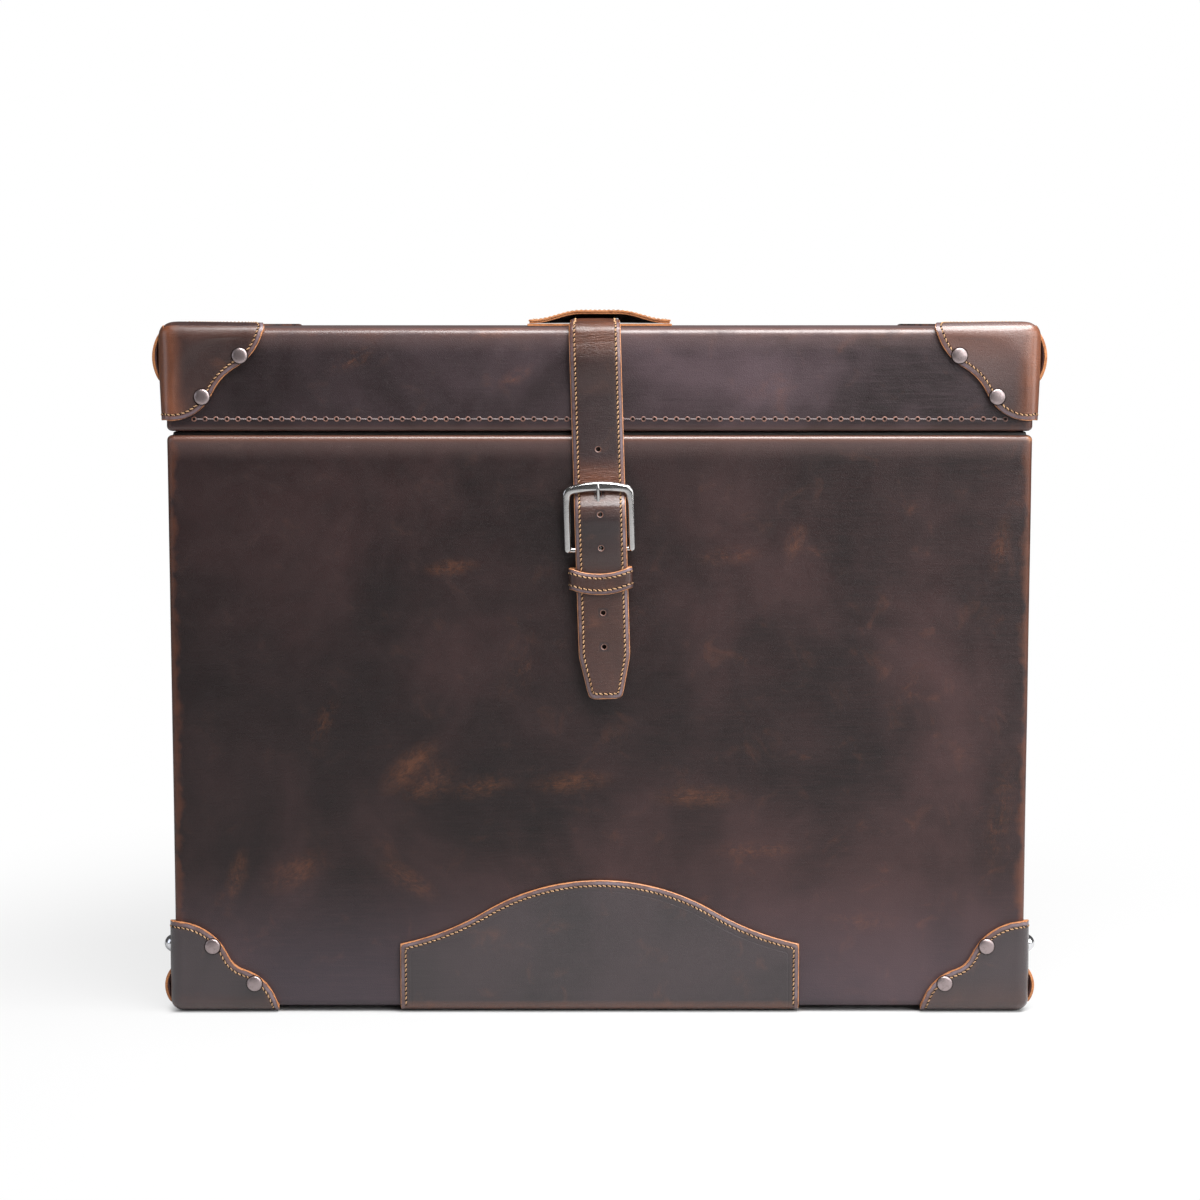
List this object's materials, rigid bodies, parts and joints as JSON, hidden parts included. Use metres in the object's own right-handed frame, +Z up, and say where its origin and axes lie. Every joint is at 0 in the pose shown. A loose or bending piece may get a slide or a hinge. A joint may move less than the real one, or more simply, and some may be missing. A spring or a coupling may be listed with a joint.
{
  "type": "leather trunk",
  "caption": "Leather-covered box trunk with a hinged lid, moulded corner caps, an arched front patch and a buckled strap over the lid.",
  "frame": {"origin": "on the floor, under the middle of the whole trunk, strap and hinges included", "axes": "+X to the trunk's right as seen from the front, +Y towards the hinges at the back, +Z up"},
  "size_m": [0.6566, 0.2731, 0.5267],
  "materials": {
    "shell_leather": "waxed pull-up hide, dark brown with paler scuffs",
    "cap_leather": "moulded waxed hide with burnished tan edges and pale stitches",
    "strap_leather": "waxed hide with stitched edges, creased at the buckle",
    "grip_leather": "layered strip with raw tan edges",
    "case_board": "bare thin board",
    "lining_cloth": "woven cotton",
    "antique_nickel": "worn warm nickel plate",
    "bright_nickel": "polished nickel plate",
    "hinge_steel": "dull antique plate"
  },
  "bodies": {
    "body": {"body_board_front": "case_board", "body_board_back": "case_board", "body_board_left": "case_board", "body_board_right": "case_board", "body_board_bottom": "case_board", "body_leather": "shell_leather", "body_lining": "lining_cloth", "collar_front": "case_board", "collar_back": "case_board", "collar_left": "case_board", "collar_right": "case_board", "base_cap_front_left": "cap_leather", "base_cap_front_right": "cap_leather", "base_cap_back_left": "cap_leather", "base_cap_back_right": "cap_leather", "base_left_inner_rivet": "antique_nickel", "base_left_outer_rivet": "antique_nickel", "base_right_inner_rivet": "antique_nickel", "base_right_outer_rivet": "antique_nickel", "left_front_stud": "bright_nickel", "left_back_stud": "bright_nickel", "right_front_stud": "bright_nickel", "right_back_stud": "bright_nickel", "front_patch": "cap_leather", "chape": "strap_leather", "keeper_loop": "strap_leather", "left_hinge_body_leaf": "hinge_steel", "left_hinge_pin": "hinge_steel", "right_hinge_body_leaf": "hinge_steel", "right_hinge_pin": "hinge_steel"},
    "lid": {"lid_board_top": "case_board", "lid_board_front": "case_board", "lid_board_back": "case_board", "lid_board_left": "case_board", "lid_board_right": "case_board", "lid_leather": "shell_leather", "lid_lining": "lining_cloth", "lid_cap_front_left": "cap_leather", "lid_cap_front_right": "cap_leather", "lid_cap_back_left": "cap_leather", "lid_cap_back_right": "cap_leather", "lid_left_inner_rivet": "antique_nickel", "lid_left_outer_rivet": "antique_nickel", "lid_right_inner_rivet": "antique_nickel", "lid_right_outer_rivet": "antique_nickel", "strap_top": "strap_leather", "strap_left_rivet": "antique_nickel", "strap_right_rivet": "antique_nickel", "grip_pad": "grip_leather", "grip_strip": "grip_leather", "left_hinge_lid_leaf": "hinge_steel", "right_hinge_lid_leaf": "hinge_steel"},
    "strap": {"strap_front": "strap_leather"},
    "buckle": {"buckle_frame": "antique_nickel"},
    "prong": {"prong": "antique_nickel"}
  },
  "joints": [
    {"name": "lid_hinge", "type": "hinge", "parent": "body", "child": "lid", "pos_m": [0, 0.13335, 0.4365], "axis": [-1, 0, 0], "range_deg": [0, 110]},
    {"name": "strap_lift", "type": "hinge", "parent": "lid", "child": "strap", "pos_m": [-0.0036, -0.12235, 0.508], "axis": [-1, 0, 0], "range_deg": [0, 120], "deforming": ["strap_front"]},
    {"name": "buckle_swing", "type": "hinge", "parent": "body", "child": "buckle", "pos_m": [0.0002, -0.12515, 0.3509], "axis": [0.9995, 0, 0.0305], "range_deg": [0, 90]},
    {"name": "prong_swing", "type": "hinge", "parent": "buckle", "child": "prong", "pos_m": [0.0002, -0.12515, 0.3509], "axis": [0.9995, 0, 0.0305], "range_deg": [0, 35]}
  ]
}
